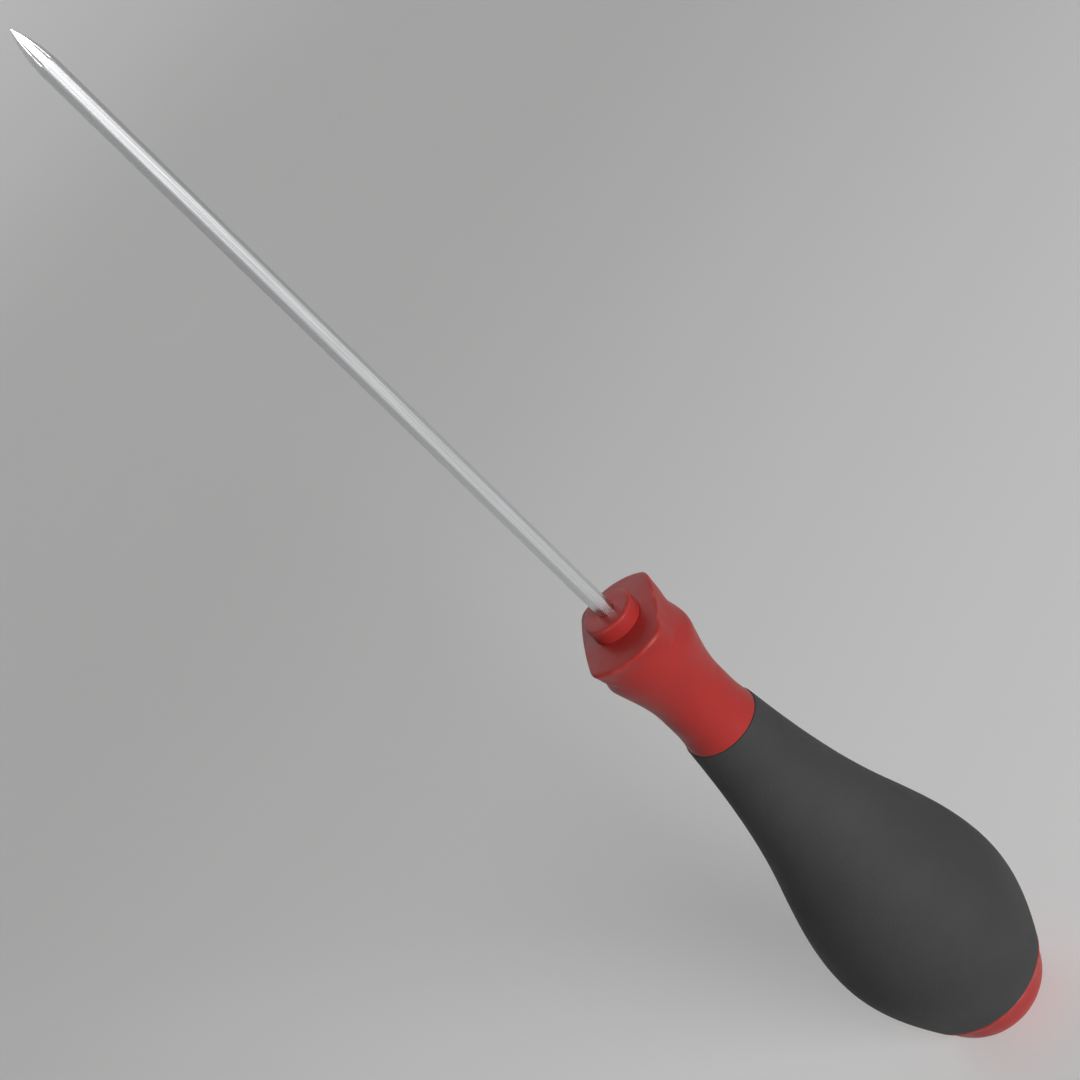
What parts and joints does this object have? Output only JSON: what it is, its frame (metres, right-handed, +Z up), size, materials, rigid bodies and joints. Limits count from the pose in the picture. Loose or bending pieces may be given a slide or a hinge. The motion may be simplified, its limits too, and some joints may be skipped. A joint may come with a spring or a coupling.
{
  "type": "six-lobe screwdriver",
  "caption": "Hand screwdriver with a slim hexagonal blade that ends in a lobed point, a flared hard collar with scooped sides, a soft pear-shaped grip and a domed end cap.",
  "frame": {"origin": "centre of the flat butt face that the screwdriver stands on", "axes": "+Z up along the tool from the butt to the point; +X square to one of the collar's two scoops; +Y along the collar's full-width sides"},
  "size_m": [0.0364, 0.0364, 0.24],
  "materials": {
    "blade_steel": "satin",
    "red_plastic": "semi-gloss",
    "soft_grip": "matte",
    "core_plastic": "matte"
  },
  "bodies": {
    "root": {"blade": "blade_steel", "nose_bush": "red_plastic", "neck_collar": "red_plastic", "core": "core_plastic", "grip_sleeve": "soft_grip", "end_ring": "red_plastic", "end_cap": "red_plastic"}
  },
  "joints": []
}
